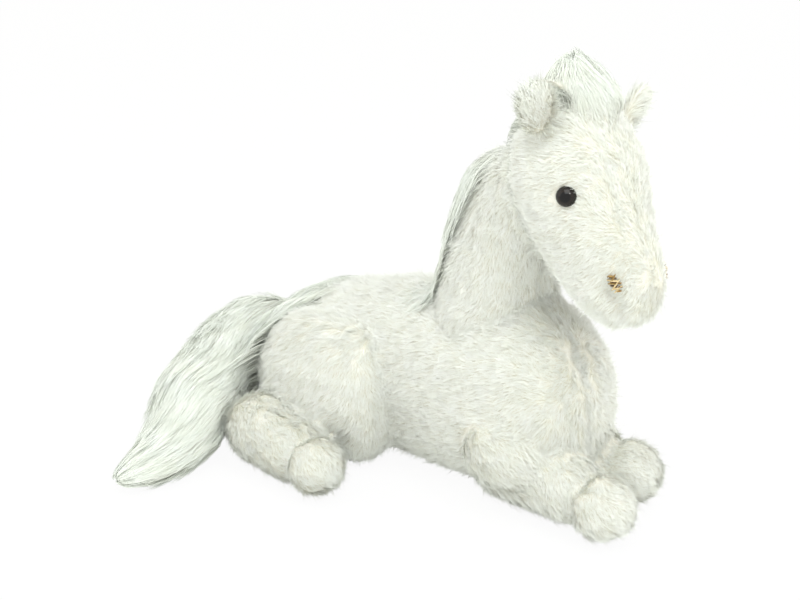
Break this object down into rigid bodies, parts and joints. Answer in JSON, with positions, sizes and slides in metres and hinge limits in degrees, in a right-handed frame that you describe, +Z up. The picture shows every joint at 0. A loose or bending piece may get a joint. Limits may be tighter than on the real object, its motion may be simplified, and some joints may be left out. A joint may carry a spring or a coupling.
{
  "type": "plush horse",
  "caption": "White long-pile plush horse lying on its belly, head up, with soft mane, forelock, ears that fold, a head that turns and a tail that swings.",
  "frame": {"origin": "under the middle of the whole toy's box, on the surface that it lies on", "axes": "+X towards the horse's chest and nose, +Y to the horse's left, +Z up"},
  "size_m": [0.3314, 0.3004, 0.2624],
  "materials": {
    "short_pile": "white knitted plush with a soft pile",
    "long_pile": "white long-pile plush, combed",
    "stuffing": "loose polyester fibre",
    "eye_plastic": "moulded, glossy, very dark brown",
    "washer_plastic": "moulded",
    "nose_thread": "gold-brown satin stitch"
  },
  "bodies": {
    "root": {"body_side_panel_left": "short_pile", "body_side_panel_right": "short_pile", "belly_gusset": "short_pile", "body_filling": "stuffing", "neck_panel_left": "short_pile", "neck_panel_right": "short_pile", "neck_filling": "stuffing", "mane": "long_pile", "front_leg_outer_panel_left": "short_pile", "front_leg_inner_panel_left": "short_pile", "front_hoof_left": "short_pile", "front_leg_filling_left": "stuffing", "thigh_panel_left": "short_pile", "thigh_filling_left": "stuffing", "hind_leg_outer_panel_left": "short_pile", "hind_leg_inner_panel_left": "short_pile", "hind_hoof_left": "short_pile", "hind_leg_filling_left": "stuffing", "front_leg_outer_panel_right": "short_pile", "front_leg_inner_panel_right": "short_pile", "front_hoof_right": "short_pile", "front_leg_filling_right": "stuffing", "thigh_panel_right": "short_pile", "thigh_filling_right": "stuffing", "hind_leg_outer_panel_right": "short_pile", "hind_leg_inner_panel_right": "short_pile", "hind_hoof_right": "short_pile", "hind_leg_filling_right": "stuffing"},
    "head": {"head_side_panel_left": "short_pile", "head_side_panel_right": "short_pile", "face_gusset": "short_pile", "head_filling": "stuffing", "forelock": "long_pile", "eye_left": "eye_plastic", "eye_washer_left": "washer_plastic", "nostril_left": "nose_thread", "eye_right": "eye_plastic", "eye_washer_right": "washer_plastic", "nostril_right": "nose_thread"},
    "ear_left": {"ear_inner_panel_left": "short_pile", "ear_outer_panel_left": "short_pile"},
    "ear_right": {"ear_inner_panel_right": "short_pile", "ear_outer_panel_right": "short_pile"},
    "tail": {"tail_upper_panel": "long_pile", "tail_lower_panel": "long_pile", "tail_filling": "stuffing"}
  },
  "joints": [
    {"name": "head_turn", "type": "hinge", "parent": "root", "child": "head", "pos_m": [0.07119, 0.03201, 0.18835], "axis": [0.3894, 0, 0.9211], "range_deg": [-12, 12], "stiffness_Nm_per_rad": 0.5},
    {"name": "ear_left_fold", "type": "hinge", "parent": "head", "child": "ear_left", "pos_m": [0.09821, 0.07141, 0.21376], "axis": [-0.492, 0.7611, -0.4226], "range_deg": [-25, 25], "stiffness_Nm_per_rad": 0.02},
    {"name": "ear_right_fold", "type": "hinge", "parent": "head", "child": "ear_right", "pos_m": [0.0976, 0.00186, 0.22397], "axis": [-0.382, -0.9039, -0.1927], "range_deg": [-25, 25], "stiffness_Nm_per_rad": 0.02},
    {"name": "tail_swing", "type": "hinge", "parent": "root", "child": "tail", "pos_m": [-0.13731, 0.03201, 0.05124], "axis": [0, 0, -1], "range_deg": [0, 70]}
  ]
}
